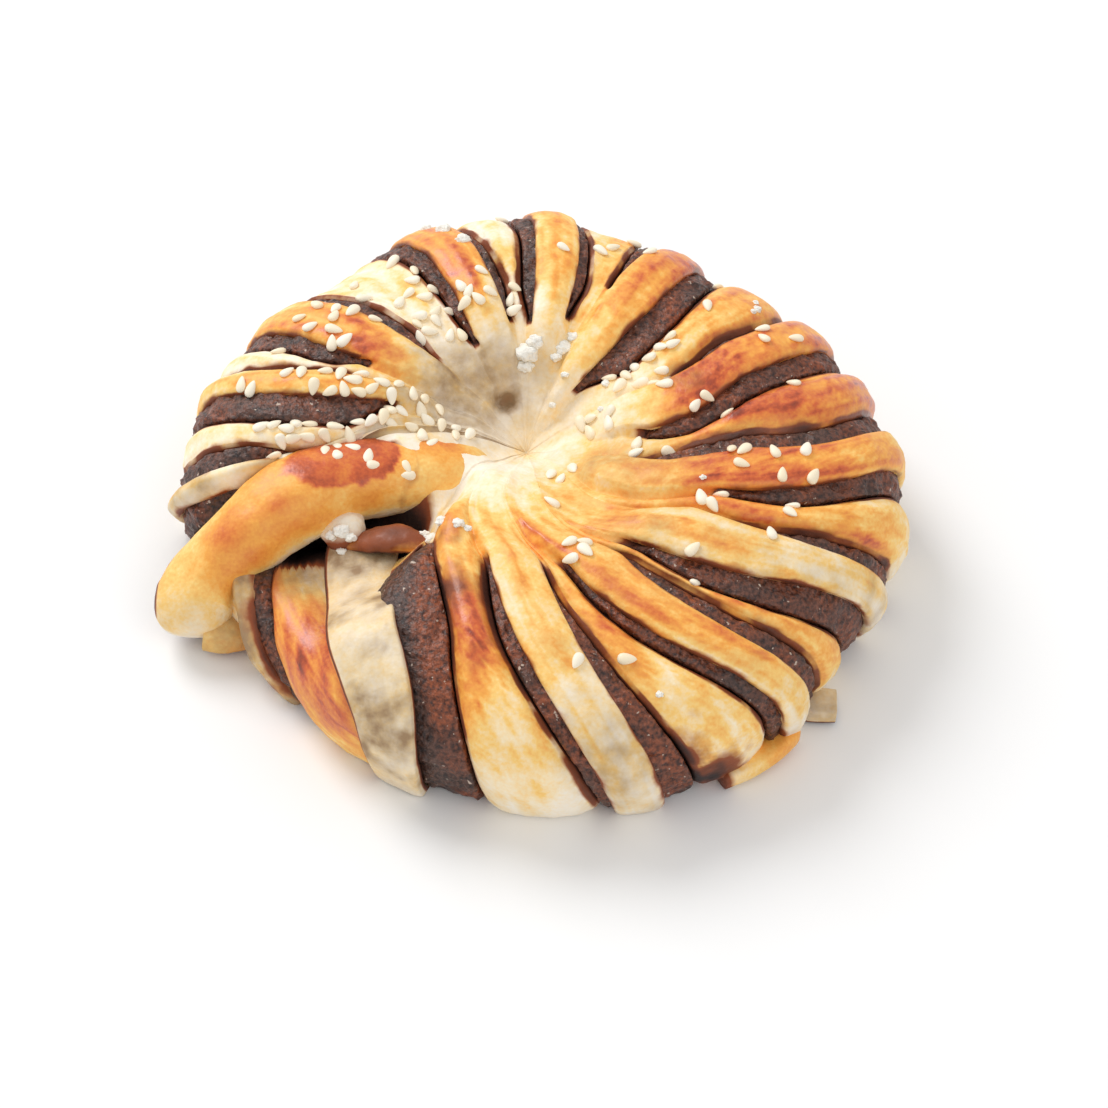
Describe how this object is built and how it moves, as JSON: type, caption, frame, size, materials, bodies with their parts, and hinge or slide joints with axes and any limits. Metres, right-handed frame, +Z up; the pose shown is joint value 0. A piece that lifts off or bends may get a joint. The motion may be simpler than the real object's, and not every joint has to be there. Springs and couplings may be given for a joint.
{
  "type": "red bean bun",
  "caption": "Round wrapped bread bun: slit strips of golden dough radiate from a pinched middle over dark bean paste bands, sprinkled with sesame.",
  "frame": {"origin": "centre of the ring on its flat underside", "axes": "+Z up, +X to the right and -Y towards the viewer of the reference view"},
  "size_m": [0.1374, 0.1378, 0.0392],
  "materials": {
    "crust": "baked golden crust with an egg glaze, from cream at the folds to orange brown on the tops",
    "paste": "lumpy dark red bean paste, slightly moist"
  },
  "bodies": {
    "root": {"dough": "crust", "bean_paste_01": "paste", "bean_paste_02": "paste", "bean_paste_03": "paste", "bean_paste_04": "paste", "bean_paste_05": "paste", "bean_paste_06": "paste", "bean_paste_07": "paste", "bean_paste_08": "paste", "bean_paste_09": "paste", "bean_paste_10": "paste", "bean_paste_11": "paste", "bean_paste_12": "paste", "bean_paste_13": "paste"}
  },
  "joints": []
}
